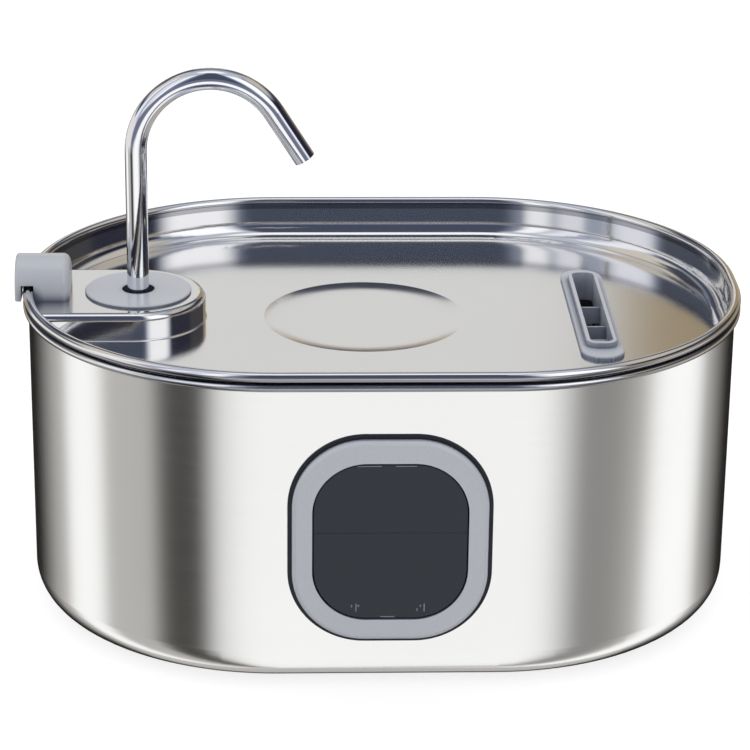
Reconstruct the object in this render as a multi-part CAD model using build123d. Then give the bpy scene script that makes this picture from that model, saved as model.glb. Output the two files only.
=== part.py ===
from build123d import *
import os

# Pet water fountain: a stainless tank with a sight window, a lift-off stainless tray with a
# swivelling spout, a drain insert with a filter, and a submersible pump inside the tank.
# Millimetres. +Z is up, X runs along the length with the spout at -X, and the window faces -Y.
# The origin is the middle of the tank's footprint, on the surface that its base pad stands on.

# ---------------------------------------------------------------- vessel
rim_length = 290.0            # over the rolled lips
rim_width = 216.0
end_flat = 12.0               # straight run across each end, between the corner bends
sheet = 0.8                   # pressed stainless sheet
tank_lip_radius = 1.5
tray_lip_radius = 2.1
lip_gap = 0.3                 # seat between the two rolled lips
tank_height = 126.6           # underside of the tank to the top of its lip
tank_wall_inset = 2.1         # lip edge to the outer face of the wall
tank_base_radius = 14.1       # outside bend between wall and floor
pad_height = 1.2              # anti-slip pad under the floor
pad_margin = 6.0              # where the tank's bend starts to the pad's edge
run_out = 1.0                 # how far a cut runs past the face that it opens

# ---------------------------------------------------------------- tray
tray_clearance = 0.3          # tray wall to the inside of the tank's lip
basin_depth = 16.6            # top of the tray's lip to the floor of the tray
basin_radius = 6.0            # inside bend between tray wall and floor
dish_radius = 41.0
dish_x = -7.0
dish_depth = 1.0
dish_slope = 11.5             # width of the rise from the dish's flat middle to its edge
lug_inset = 44.8              # lip edge to the middle of the round end of the lug
lug_height = 11.0
lug_half_width = 28.5
lug_edge_radius = 2.8
lug_foot_radius = 0.6         # inside bend where the lug rises from the floor

# ---------------------------------------------------------------- spout
spout_inset = 46.0            # lip edge to the spout's axis
tube_radius = 4.4
tube_wall = 0.8
bend_radius = 30.0
bend_angle = 147.5
bend_height = 59.2            # lug top to where the bend starts
nose_length = 22.8            # straight run after the bend
tube_tail = 42.7              # lug top down to the tube's lower end
flange_radius = 21.5
flange_thickness = 1.1
flange_bore = 6.6
sleeve_radius = 9.0
sleeve_length = 14.7          # below the lug's top
sleeve_floor = 2.0
bush_recess = 4.3             # flange top to the bush
running_gap = 0.05
nut_radius = 14.0
nut_height = 4.0
nut_grips = 12
nut_grip_radius = 1.2
washer_radius = 15.0
washer_thickness = 1.0
bead_radius = 5.6
bead_height = 1.3
stop_radius = 6.6
stop_height = 2.0
end_play = 0.3

# ---------------------------------------------------------------- drain insert and filter
drain_inset = 58.8            # lip edge to the middle of the drain
drain_flange_length = 104.0
drain_flange_width = 17.3
drain_flange_thickness = 1.8
neck_length = 85.0
neck_width = 12.2
neck_wall = 1.5
neck_corner = 4.5
collar_height = 2.4           # above the drain flange
neck_drop = 12.0              # below the tray floor
neck_clearance = 0.3
rib_thickness = 1.0
rib_height = 7.0
rib_below_collar = 4.1
rib_spacing = 22.8
rib_offset = -1.9
tab_length = 18.0
tab_thickness = 1.0
tab_below_collar = 6.0
nub_size = 1.2
nub_spacing = 6.4
basket_height = 24.0
basket_wall = 0.8
basket_tongue = 4.0
tongue_wall = 0.6
basket_slot_width = 3.0
basket_slot_pitch = 6.0
basket_slots = 11
basket_slot_margin = 2.4      # basket's floor and top to its side slots
filter_pad_height = 19.0
pad_clearance = 0.3

# ---------------------------------------------------------------- rim clip and cable way
clip_half_width = 12.5
clip_reach_out = 3.1          # outside the lip edge
clip_reach_in = 18.7          # inside the lip edge
clip_side_height = 3.2        # straight side under the round back
clip_wall = 2.4
clip_end_radius = 3.0
clip_outer_radius = 1.2       # round edge of the end outside the vessel
clip_notch_side = 0.6         # outside the lip edge
clip_notch_top = 0.9          # above the tray's lip
clip_gap = 0.3                # tray's lip to the clip's inner leg
cable_exit_width = 6.0
cable_hole_radius = 4.0
cable_hole_inset = 10.8       # lip edge to the middle of the hole
grommet_bore = 2.6
grommet_flange = 1.2
grommet_lip = 1.0

# ---------------------------------------------------------------- sight window
window_side_margin = 3.7      # gasket's side to the start of the tank's corner bends
window_below_lip = 22.3       # top of the tank's lip to the top of the bezel
window_above_bend = 7.4       # end of the tank's base bend to the bottom of the bezel
gasket_margin = 1.7           # beyond the bezel
bezel_corner_share = 0.745    # corner bend over half the bezel's shorter side
bezel_thickness = 3.2
bezel_edge_radius = 2.0
bezel_side_band = 7.7         # opening to the bezel's side
bezel_end_band = 8.8          # opening to the bezel's top and bottom
bezel_corner_band = 7.2
bezel_tab_width = 5.0
bezel_tab_height = 0.9
gasket_thickness = 0.6
pane_gap = 0.2                # pane to the bezel's opening
pane_recess = 0.6
pane_wall = 2.0
pane_flange_thickness = 2.0
wall_hole_margin = 1.6        # beyond the bezel's opening
inner_gasket_thickness = 1.0
frame_thickness = 2.5
level_line_height = 0.8
level_line_depth = 0.3
screw_inset = 4.0             # bezel's corner bend to the middle of a screw
boss_radius = 2.4
boss_clearance = 0.2
screw_radius = 1.2
screw_tip_gap = 0.5           # bezel's back to the screw's tip
screw_head_radius = 2.6
screw_head_height = 1.6
screw_recess_radius = 1.1

# ---------------------------------------------------------------- pump
pump_length = 44.0            # along X
pump_depth = 38.0             # along Y, without its front cover
pump_height = 34.0
pump_edge_radius = 4.0
cup_height = 6.0
cup_radius = 8.0
cup_neck_radius = 3.0
cup_stem = 2.5
cup_spacing_x = 24.0
cup_spacing_y = 22.0
impeller_offset = 7.0         # impeller axis to the outlet, along -X
pump_offset = 2.0             # impeller axis to the middle of the pump, along +X
impeller_drop = 18.0          # pump top to the impeller axis
chamber_radius = 13.0
chamber_depth = 10.0
chamber_behind_outlet = 2.0   # chamber floor past the outlet's axis
well_radius = 6.4
well_depth = 20.0
rotor_gap = 0.6
rotor_end_gap = 1.0
impeller_radius = 10.5
impeller_blades = 6
blade_thickness = 1.2
hub_radius = 3.5
shaft_radius = 1.0
bush_radius = 2.5
bush_length = 3.0
volute_thickness = 2.5
volute_spokes = 3
spoke_thickness = 1.2
intake_radius = 6.0
cover_depth = 16.0
cover_wall = 2.0
grille_slots = 7
grille_slot_width = 2.0
grille_slot_height = 18.0
grille_pitch = 4.2
grille_lift = 1.6             # pump's middle to the grille's middle
sponge_thickness = 7.0
slider_length = 14.0
slider_height = 7.0
slider_thickness = 1.5
slider_travel = 8.0
slider_gap = 0.1
slider_lift = 3.2             # pump's underside to the slider
rail_size = 1.6
rail_root = 0.5               # rail let into the cover's face
nipple_height = 18.0
outlet_bore = 2.7
hose_wall = 2.0
hose_seat = 4.0               # pump top to the hose's lower end
hose_overlap = 16.0           # hose over the tube's lower end
gland_radius = 5.0
gland_length = 7.0
gland_tip_radius = 3.5
gland_tip_length = 6.0
gland_bore = 1.8
gland_seat = 3.0
gland_drop = 8.5              # pump top to the gland's axis

# ---------------------------------------------------------------- levels and places
corner_radius = (rim_width - end_flat) / 2
spout_x = spout_inset - rim_length / 2
lug_x = lug_inset - rim_length / 2
drain_x = rim_length / 2 - drain_inset
tank_floor = pad_height + sheet
tank_lip_top = pad_height + tank_height
tray_lip_z = tank_lip_top + lip_gap + tray_lip_radius
rim_top = tray_lip_z + tray_lip_radius
floor_top = rim_top - basin_depth
floor_under = floor_top - sheet
lug_top = floor_top + lug_height
lug_under = lug_top - sheet
tray_inset = 2 * tank_lip_radius + tray_clearance
tank_inside_inset = tank_wall_inset + sheet
tank_front = tank_wall_inset - rim_width / 2
flange_top = lug_top + flange_thickness
sleeve_end = lug_top - sleeve_length
tube_end = lug_top - tube_tail
tube_bore = tube_radius + running_gap
bezel_top = tank_lip_top - window_below_lip
bezel_bottom = pad_height + tank_base_radius + window_above_bend
window_z = (bezel_top + bezel_bottom) / 2
bezel_half_height = (bezel_top - bezel_bottom) / 2
bezel_half_width = rim_length / 2 - corner_radius - window_side_margin - gasket_margin
bezel_corner = min(bezel_half_width, bezel_half_height) * bezel_corner_share
opening_half_width = bezel_half_width - bezel_side_band
opening_half_height = bezel_half_height - bezel_end_band
opening_corner = bezel_corner - bezel_corner_band
bezel_back = tank_front - gasket_thickness
bezel_front = bezel_back - bezel_thickness
wall_inside = tank_front + sheet
pane_seat = wall_inside + inner_gasket_thickness
frame_front = pane_seat + pane_flange_thickness
frame_back = frame_front + frame_thickness
collar_top = floor_top + drain_flange_thickness + collar_height
neck_bottom = floor_top - neck_drop
basket_bottom = neck_bottom - basket_height
clip_back_z = lug_top + clip_side_height
cable_x = cable_hole_inset - rim_length / 2
pump_bottom = tank_floor + cup_height
pump_top = pump_bottom + pump_height
impeller_x = spout_x - impeller_offset
impeller_z = pump_top - impeller_drop
pump_x = impeller_x + pump_offset
pump_middle_z = (pump_bottom + pump_top) / 2
gland_z = pump_top - gland_drop
slider_z = pump_bottom + slider_lift + slider_height / 2
chamber_back = chamber_behind_outlet
pump_front = chamber_back - chamber_depth
pump_back = pump_front + pump_depth
well_back = chamber_back + well_depth
hose_top = tube_end + hose_overlap


# ---------------------------------------------------------------- shapes used again and again
def rim_plan(inset):
    """The vessel's plan outline, drawn in from the outer edge of its lip."""
    return RectangleRounded(rim_length - 2 * inset, rim_width - 2 * inset, corner_radius - inset)


def plan_block(inset, low, high, bend):
    """A solid with the vessel's plan and a bend around its underside."""
    block = Pos(0, 0, low) * extrude(rim_plan(inset), high - low)
    return fillet(block.faces().sort_by(Axis.Z)[0].edges(), bend)


def rolled_lip(radius, height):
    """A round lip whose outer edge is the vessel's outermost outline."""
    path = Pos(0, 0, height) * rim_plan(radius).wire()
    section = Plane(origin=path @ 0, z_dir=path % 0) * Circle(radius)
    return sweep(section, path=path)


def rod(radius, low, high, x=0.0, y=0.0):
    """A round bar along Z."""
    return Pos(x, y, low) * extrude(Circle(radius), high - low)


def ring(outer, bore, low, high, x=0.0, y=0.0):
    """A round ring along Z."""
    return Pos(x, y, low) * extrude(Circle(outer) - Circle(bore), high - low)


def facing_front(shape, back, thickness, x=0.0, z=0.0):
    """A flat shape, drawn in X and Z, made solid from its back towards the front."""
    plane = Plane(origin=(x, back, z), x_dir=(1, 0, 0), z_dir=(0, -1, 0))
    return extrude(plane * shape, thickness)


def rod_y(radius, front, back, x=0.0, z=0.0):
    """A round bar along Y."""
    return facing_front(Circle(radius), back, back - front, x, z)


def neck_plan(margin):
    """The drain neck's outline across the tray, grown by a margin."""
    length = neck_length + 2 * margin
    width = neck_width + 2 * margin
    return Pos(drain_x, 0) * RectangleRounded(width, length, neck_corner + margin)


# ---------------------------------------------------------------- tank
def window_plan(margin):
    """The sight window's opening, grown by a margin."""
    return RectangleRounded(
        2 * (opening_half_width + margin),
        2 * (opening_half_height + margin),
        opening_corner + margin,
    )


def bezel_plan(margin=0.0):
    """The bezel's outline, grown by a margin."""
    return RectangleRounded(
        2 * (bezel_half_width + margin),
        2 * (bezel_half_height + margin),
        bezel_corner + margin,
    )


def screw_places():
    """Middles of the four bosses, inside the bezel's corner bends."""
    reach = (bezel_corner - screw_inset) * 0.5**0.5
    x = bezel_half_width - bezel_corner + reach
    z = bezel_half_height - bezel_corner + reach
    return [(side * x, window_z + end * z) for side in (-1, 1) for end in (-1, 1)]


def boss_holes(part, radius):
    """Cuts the four boss holes through a window piece."""
    for x, z in screw_places():
        part -= rod_y(radius, bezel_front + run_out, frame_back + run_out, x, z)
    return part


def make_tank():
    lip_z = tank_lip_top - tank_lip_radius
    inner_bend = tank_base_radius - sheet
    tank = plan_block(tank_wall_inset, pad_height, lip_z, tank_base_radius)
    tank -= plan_block(tank_inside_inset, tank_floor, lip_z + run_out, inner_bend)
    tank += rolled_lip(tank_lip_radius, lip_z)
    hole_plan = window_plan(wall_hole_margin)
    hole = facing_front(hole_plan, wall_inside + run_out, sheet + 2 * run_out, 0, window_z)
    return boss_holes(tank - hole, boss_radius + boss_clearance)


def make_base_pad():
    return extrude(rim_plan(tank_wall_inset + tank_base_radius + pad_margin), pad_height)


# ---------------------------------------------------------------- tray
def dish_solid(level):
    """The hollow of the shallow dish: a flat middle that rises to a crisp edge."""
    inner = dish_radius - dish_slope
    rise = TangentArc((inner, -dish_depth), (dish_radius, 0), tangent=(1, 0))
    rest = Polyline((dish_radius, 0), (0, 0), (0, -dish_depth), (inner, -dish_depth))
    profile = Plane.XZ * make_face([rise, rest])
    return Pos(dish_x, 0, level) * revolve(profile, Axis.Z)


def lug_block(half_width, low, high, edge):
    """The raised lug: round at its free end and run out past the tray's end wall."""
    plan = Pos(lug_x, 0) * Circle(half_width)
    plan += Pos(lug_x - lug_inset / 2, 0) * Rectangle(lug_inset, 2 * half_width)
    block = Pos(0, 0, low) * extrude(plan, high - low)
    return fillet(block.faces().sort_by(Axis.Z)[-1].edges(), edge)


def basin_room():
    """The room over the tray's floor, beside the lug and the small bend round the lug's foot."""
    room = plan_block(tray_inset + sheet, floor_top, tray_lip_z + run_out, basin_radius)
    room -= lug_block(lug_half_width, floor_under, lug_top, lug_edge_radius)
    reach = lug_half_width + run_out
    foot = room.faces().sort_by(Axis.Z)[0].edges().filter_by_position(Axis.Y, -reach, reach)
    foot = foot.filter_by_position(Axis.X, -rim_length / 2, lug_x + reach)
    return fillet(foot, lug_foot_radius)


def make_tray():
    tray = plan_block(tray_inset, floor_under, tray_lip_z, basin_radius + sheet) - basin_room()
    inner_width = lug_half_width - sheet
    tray -= lug_block(inner_width, floor_under - run_out, lug_under, lug_edge_radius - sheet)
    tray += dish_solid(floor_under)
    tray -= dish_solid(floor_top)
    tray += rolled_lip(tray_lip_radius, tray_lip_z)
    hole = extrude(neck_plan(neck_clearance), sheet + 2 * run_out)
    tray -= Pos(0, 0, floor_under - run_out) * hole
    tray -= rod(sleeve_radius + neck_clearance, lug_under - run_out, lug_top + run_out, spout_x)
    tray -= rod(cable_hole_radius, lug_under - run_out, lug_top + run_out, cable_x)
    return tray


def make_cable_grommet():
    top = lug_top + grommet_lip
    grommet = rod(cable_hole_radius, lug_under - grommet_lip, top, cable_x)
    rim = cable_hole_radius + grommet_flange
    grommet += rod(rim, lug_top, top, cable_x)
    grommet += rod(rim, lug_under - grommet_lip, lug_under, cable_x)
    return grommet - rod(grommet_bore, lug_under - 2 * grommet_lip, top + run_out, cable_x)


# ---------------------------------------------------------------- spout
def spout_path():
    """The middle line of the spout: a riser, a bend and a straight nose."""
    bend_start = lug_top + bend_height
    riser = Line((spout_x, 0, tube_end), (spout_x, 0, bend_start))
    bend_plane = Plane(origin=(spout_x + bend_radius, 0, bend_start), x_dir=(-1, 0, 0), z_dir=(0, 1, 0))
    bend = bend_plane * CenterArc((0, 0), bend_radius, 0, bend_angle)
    nose = Line(bend @ 1, bend @ 1 + (bend % 1) * nose_length)
    return Wire([riser, bend, nose])


def make_spout_tube():
    path = spout_path()
    start = Plane(origin=path @ 0, z_dir=(0, 0, 1))
    tube = sweep(start * Circle(tube_radius), path=path)
    bead_low = flange_top - bush_recess + end_play
    tube += rod(bead_radius, bead_low, bead_low + bead_height, spout_x)
    return tube - sweep(start * Circle(tube_radius - tube_wall), path=path)


def make_spout_stop_ring():
    top = sleeve_end - end_play
    return ring(stop_radius, tube_radius, top - stop_height, top, spout_x)


def make_spout_flange():
    flange = rod(flange_radius, lug_top, flange_top, spout_x)
    flange = chamfer(flange.edges().sort_by(Axis.Z)[-1], flange_thickness / 3)
    flange += rod(sleeve_radius, sleeve_end, lug_top, spout_x)
    flange -= rod(flange_bore, sleeve_end + sleeve_floor, flange_top + run_out, spout_x)
    return flange - rod(bead_radius, sleeve_end - run_out, flange_top, spout_x)


def make_spout_bush():
    return ring(flange_bore, tube_bore, sleeve_end + sleeve_floor, flange_top - bush_recess, spout_x)


def make_nut_washer():
    low = lug_under - washer_thickness
    return ring(washer_radius, sleeve_radius, low, lug_under, spout_x)


def make_spout_nut():
    high = lug_under - washer_thickness
    nut = ring(nut_radius, sleeve_radius, high - nut_height, high, spout_x)
    cut = extrude(Circle(nut_grip_radius), nut_height)
    for grip in PolarLocations(nut_radius, nut_grips):
        nut -= Pos(spout_x, 0, high - nut_height) * grip * cut
    return nut


def make_outlet_hose():
    return ring(tube_bore + hose_wall, tube_bore, pump_top + hose_seat, hose_top, spout_x)


# ---------------------------------------------------------------- drain insert and filter
def make_drain_insert():
    inner_length = neck_length - 2 * neck_wall
    inner_width = neck_width - 2 * neck_wall
    flange_plan = Pos(drain_x, 0) * SlotOverall(drain_flange_length, drain_flange_width, 90)
    flange = Pos(0, 0, floor_top) * extrude(flange_plan, drain_flange_thickness)
    flange = fillet(flange.faces().sort_by(Axis.Z)[-1].edges(), drain_flange_thickness / 2)
    neck = Pos(0, 0, neck_bottom) * extrude(neck_plan(0), collar_top - neck_bottom)
    neck = fillet(neck.faces().sort_by(Axis.Z)[-1].edges(), neck_wall / 4)
    bore = extrude(neck_plan(-neck_wall), collar_top - neck_bottom + 2 * run_out)
    insert = flange + neck - Pos(0, 0, neck_bottom - run_out) * bore
    rib_z = collar_top - rib_below_collar - rib_height / 2
    for side in (-1, 1):
        rib_y = rib_offset + side * rib_spacing / 2
        insert += Pos(drain_x, rib_y, rib_z) * Box(inner_width, rib_thickness, rib_height)
    tab_y = (tab_length - inner_length) / 2
    tab_z = collar_top - tab_below_collar - tab_thickness / 2
    insert += Pos(drain_x, tab_y, tab_z) * Box(inner_width, tab_length, tab_thickness)
    end_radius = drain_flange_width / 2
    nub_reach = (end_radius**2 - (nub_spacing / 2) ** 2) ** 0.5
    nub_y = end_radius - drain_flange_length / 2 - nub_reach
    for side in (-1, 1):
        nub_x = drain_x + side * nub_spacing / 2
        insert += rod(nub_size / 2, floor_top, floor_top + nub_size, nub_x, nub_y)
    seat = extrude(neck_plan(tongue_wall - neck_wall), basket_tongue + run_out)
    return insert - Pos(0, 0, neck_bottom - run_out) * seat


def make_filter_basket():
    basket = Pos(0, 0, basket_bottom) * extrude(neck_plan(0), basket_height)
    basket += Pos(0, 0, neck_bottom) * extrude(neck_plan(tongue_wall - neck_wall), basket_tongue)
    inside = extrude(neck_plan(-neck_wall), basket_height + basket_tongue)
    basket -= Pos(0, 0, basket_bottom + basket_wall) * inside
    slot_height = basket_height - 2 * basket_slot_margin
    slot_z = basket_bottom + basket_height / 2
    slot = Box(neck_width + 2 * run_out, basket_slot_width, slot_height)
    floor_width = neck_width - 2 * (neck_wall + basket_wall)
    floor_slot = Box(floor_width, basket_slot_width, 3 * basket_wall)
    for number in range(basket_slots):
        slot_y = (number - (basket_slots - 1) / 2) * basket_slot_pitch
        basket -= Pos(drain_x, slot_y, slot_z) * slot
        basket -= Pos(drain_x, slot_y, basket_bottom) * floor_slot
    return basket


def make_filter_pad():
    plan = neck_plan(-neck_wall - pad_clearance)
    return Pos(0, 0, basket_bottom + basket_wall) * extrude(plan, filter_pad_height)


# ---------------------------------------------------------------- rim clip
def arch(radius, low):
    """A round-backed section in Y and Z, with straight sides down to a level."""
    section = Pos(0, clip_back_z) * Circle(radius)
    section += Pos(0, (low + clip_back_z) / 2) * Rectangle(2 * radius, clip_back_z - low)
    return section & Pos(0, low + 2 * clip_half_width) * Rectangle(4 * radius, 4 * clip_half_width)


def arch_bar(radius, low, start, end):
    """The arch section run along X from start to end."""
    plane = Plane(origin=(start, 0, 0), x_dir=(0, 1, 0), z_dir=(1, 0, 0))
    return extrude(plane * arch(radius, low), end - start)


def make_rim_clip():
    lip_edge = -rim_length / 2
    start = lip_edge - clip_reach_out
    end = lip_edge + clip_reach_in
    clip = arch_bar(clip_half_width, lug_top, start, end)
    for face_order, radius in ((-1, clip_end_radius), (0, clip_outer_radius)):
        round_edges = clip.faces().sort_by(Axis.X)[face_order].edges().sort_by(Axis.Z)[1:]
        clip = fillet(round_edges, radius)
    room = clip_half_width - clip_wall
    clip -= arch_bar(room, lug_top - run_out, lip_edge, end - clip_wall)
    notch_low = lug_top - run_out
    notch_high = rim_top + clip_notch_top
    notch_z = (notch_low + notch_high) / 2
    notch_start = lip_edge - clip_notch_side
    notch_end = lip_edge + 2 * tray_lip_radius + clip_gap
    notch = Box(notch_end - notch_start, 3 * clip_half_width, notch_high - notch_low)
    clip -= Pos((notch_start + notch_end) / 2, 0, notch_z) * notch
    # the leg's foot stands clear of the bend where the lug meets the tray's wall
    relief_end = lip_edge + tray_inset + sheet + lug_foot_radius
    relief = Box(relief_end - notch_start, 3 * clip_half_width, 2 * lug_foot_radius)
    clip -= Pos((notch_start + relief_end) / 2, 0, lug_top) * relief
    exit_way = Box(2 * clip_reach_out, cable_exit_width, notch_high - notch_low)
    return clip - Pos(start, 0, notch_z) * exit_way


# ---------------------------------------------------------------- sight window
def make_window_bezel():
    bezel = facing_front(bezel_plan(), bezel_back, bezel_thickness, 0, window_z)
    bezel = fillet(bezel.faces().sort_by(Axis.Y)[0].edges(), bezel_edge_radius)
    depth = bezel_thickness + 2 * run_out
    bezel -= facing_front(window_plan(0), bezel_back + run_out, depth, 0, window_z)
    tab_z = window_z - opening_half_height
    tab = Rectangle(bezel_tab_width, 2 * bezel_tab_height)
    bezel += facing_front(tab, bezel_back, bezel_thickness / 2, 0, tab_z)
    for x, z in screw_places():
        bezel += rod_y(boss_radius, bezel_back, frame_front, x, z)
        bezel -= rod_y(screw_radius + running_gap, bezel_back, frame_front + run_out, x, z)
    return bezel


def make_bezel_gasket():
    plan = bezel_plan(gasket_margin) - window_plan(wall_hole_margin)
    gasket = facing_front(plan, tank_front, gasket_thickness, 0, window_z)
    return boss_holes(gasket, boss_radius + boss_clearance)


def make_window_pane():
    front = bezel_front + pane_recess
    lens = facing_front(window_plan(-pane_gap), pane_seat, pane_seat - front, 0, window_z)
    lens = fillet(lens.faces().sort_by(Axis.Y)[0].edges(), pane_recess)
    pane = lens + facing_front(bezel_plan(), frame_front, pane_flange_thickness, 0, window_z)
    hollow_depth = frame_front - front - pane_wall
    pane -= facing_front(window_plan(-pane_gap - pane_wall), frame_front, hollow_depth, 0, window_z)
    line_width = 2 * (opening_half_width - pane_gap - pane_wall)
    line = Rectangle(line_width, level_line_height)
    pane += facing_front(line, front + pane_wall + level_line_depth, level_line_depth, 0, window_z)
    tab_room = Rectangle(bezel_tab_width + 2 * pane_gap, 2 * (bezel_tab_height + pane_gap))
    tab_z = window_z - opening_half_height
    pane -= facing_front(tab_room, bezel_back + pane_gap, bezel_thickness, 0, tab_z)
    return boss_holes(pane, boss_radius + boss_clearance)


def make_pane_gasket():
    plan = bezel_plan() - window_plan(wall_hole_margin)
    gasket = facing_front(plan, pane_seat, inner_gasket_thickness, 0, window_z)
    return boss_holes(gasket, boss_radius + boss_clearance)


def make_window_frame():
    plan = bezel_plan() - window_plan(-pane_gap - pane_wall)
    frame = facing_front(plan, frame_back, frame_thickness, 0, window_z)
    for x, z in screw_places():
        frame -= rod_y(screw_radius + running_gap, frame_front - run_out, frame_back + run_out, x, z)
    return frame


def make_window_screws():
    screws = []
    tip = bezel_back + screw_tip_gap
    top = frame_back + screw_head_height
    for x, z in screw_places():
        screw = rod_y(screw_radius, tip, frame_back, x, z)
        screw += rod_y(screw_head_radius, frame_back, top, x, z)
        screw -= rod_y(screw_recess_radius, top - screw_head_height / 2, top + run_out, x, z)
        screws.append(screw)
    return screws


# ---------------------------------------------------------------- pump
def pump_plan():
    """The pump's section across its axis, drawn in X and Z."""
    return RectangleRounded(pump_length, pump_height, pump_edge_radius)


def cup_places():
    """Middles of the four suction cups under the pump."""
    middle = (pump_front + pump_back) / 2
    return [
        (pump_x + side * cup_spacing_x / 2, middle + end * cup_spacing_y / 2)
        for side in (-1, 1)
        for end in (-1, 1)
    ]


def make_pump_body():
    body = facing_front(pump_plan(), pump_back, pump_depth, pump_x, pump_middle_z)
    body += rod(tube_radius, pump_top - run_out, pump_top + nipple_height, spout_x)
    body -= rod_y(chamber_radius, pump_front - run_out, chamber_back, impeller_x, impeller_z)
    body -= rod_y(well_radius, pump_front, well_back, impeller_x, impeller_z)
    body -= rod_y(bush_radius, pump_front, well_back + bush_length, impeller_x, impeller_z)
    body -= rod(outlet_bore, impeller_z, pump_top + nipple_height + run_out, spout_x)
    for x, y in cup_places():
        body -= rod(cup_neck_radius, pump_bottom - run_out, pump_bottom + cup_stem, x, y)
    return body - rod_y(gland_radius, pump_back - gland_seat, pump_back + run_out, pump_x, gland_z)


def make_volute_cover():
    back = pump_front + volute_thickness
    plan = Circle(chamber_radius) - Circle(intake_radius) + Circle(bush_radius + spoke_thickness)
    for turn in range(volute_spokes):
        spoke = Pos(intake_radius / 2, 0) * Rectangle(intake_radius + spoke_thickness, spoke_thickness)
        plan += Rot(0, 0, turn * 360 / volute_spokes) * spoke
    return facing_front(plan - Circle(bush_radius), back, volute_thickness, impeller_x, impeller_z)


def make_shaft_bushes():
    front = rod_y(bush_radius, pump_front, pump_front + volute_thickness, impeller_x, impeller_z)
    rear = rod_y(bush_radius, well_back, well_back + bush_length, impeller_x, impeller_z)
    bore = rod_y(shaft_radius, pump_front - run_out, well_back + bush_length, impeller_x, impeller_z)
    return [front - bore, rear - bore]


def make_impeller_shaft():
    return rod_y(shaft_radius, pump_front, well_back + bush_length, impeller_x, impeller_z)


def impeller_span():
    """Front end, back of the blades and back end of the turning part."""
    front = pump_front + volute_thickness + rotor_gap
    return front, chamber_back - rotor_gap, well_back - rotor_end_gap


def make_impeller():
    front, disc_back, back = impeller_span()
    disc_front = disc_back - blade_thickness
    impeller = rod_y(hub_radius, front, back, impeller_x, impeller_z)
    impeller += rod_y(impeller_radius, disc_front, disc_back, impeller_x, impeller_z)
    blade_length = impeller_radius - hub_radius + blade_thickness
    for turn in range(impeller_blades):
        blade = Pos(impeller_radius - blade_length / 2, 0) * Rectangle(blade_length, blade_thickness)
        blade = Rot(0, 0, turn * 360 / impeller_blades) * blade & Circle(impeller_radius)
        impeller += facing_front(blade, disc_front, disc_front - front, impeller_x, impeller_z)
    bore = rod_y(shaft_radius + running_gap, front - run_out, back + run_out, impeller_x, impeller_z)
    return impeller - bore


def make_rotor_magnet():
    front, disc_back, back = impeller_span()
    magnet = rod_y(well_radius - rotor_gap, disc_back + 2 * rotor_gap, back, impeller_x, impeller_z)
    return magnet - rod_y(hub_radius, front, back + run_out, impeller_x, impeller_z)


def make_pump_cover():
    face = pump_front - cover_depth
    cover = facing_front(pump_plan(), pump_front, cover_depth, pump_x, pump_middle_z)
    inner_length = pump_length - 2 * cover_wall
    inner_height = pump_height - 2 * cover_wall
    inner = RectangleRounded(inner_length, inner_height, pump_edge_radius - cover_wall)
    room = cover_depth - cover_wall + run_out
    cover -= facing_front(inner, pump_front + run_out, room, pump_x, pump_middle_z)
    slot = Rectangle(grille_slot_width, grille_slot_height)
    slot_z = pump_middle_z + grille_lift
    for number in range(grille_slots):
        slot_x = pump_x + (number - (grille_slots - 1) / 2) * grille_pitch
        cover -= facing_front(slot, face + cover_wall + run_out, cover_wall + 2 * run_out, slot_x, slot_z)
    rail = Rectangle(slider_length + 2 * slider_travel, rail_size)
    for edge in (-1, 1):
        rail_z = slider_z + edge * (slider_height / 2 + slider_gap + rail_size / 2)
        cover += facing_front(rail, face + rail_root, rail_size + rail_root, pump_x, rail_z)
    return cover


def make_flow_slider():
    back = pump_front - cover_depth - slider_gap
    plate = Rectangle(slider_length, slider_height)
    start = pump_x - slider_travel / 2
    slider = facing_front(plate, back, slider_thickness, start, slider_z)
    grip = Rectangle(slider_thickness, slider_height)
    return slider + facing_front(grip, back, 2 * slider_thickness, start, slider_z)


def make_intake_sponge():
    margin = cover_wall + pad_clearance
    plan = Rectangle(pump_length - 2 * margin - pump_edge_radius, pump_height - 2 * margin)
    back = pump_front - cover_depth + cover_wall + pad_clearance + sponge_thickness
    return facing_front(plan, back, sponge_thickness, pump_x, pump_middle_z)


def make_suction_cups():
    top = cup_height + cup_stem
    neck = (cup_neck_radius, cup_height / 2)
    flare = Polyline((0, 0), (cup_radius, 0), neck, (cup_neck_radius, top), (0, top), close=True)
    cup = revolve(Plane.XZ * make_face(flare), Axis.Z)
    return [Pos(x, y, tank_floor) * cup for x, y in cup_places()]


def make_cable_gland():
    root = pump_back - gland_seat
    tip = root + gland_length + gland_tip_length
    gland = rod_y(gland_radius, root, root + gland_length, pump_x, gland_z)
    gland += rod_y(gland_tip_radius, root + gland_length, tip, pump_x, gland_z)
    return gland - rod_y(gland_bore, root + gland_length, tip + run_out, pump_x, gland_z)


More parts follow.
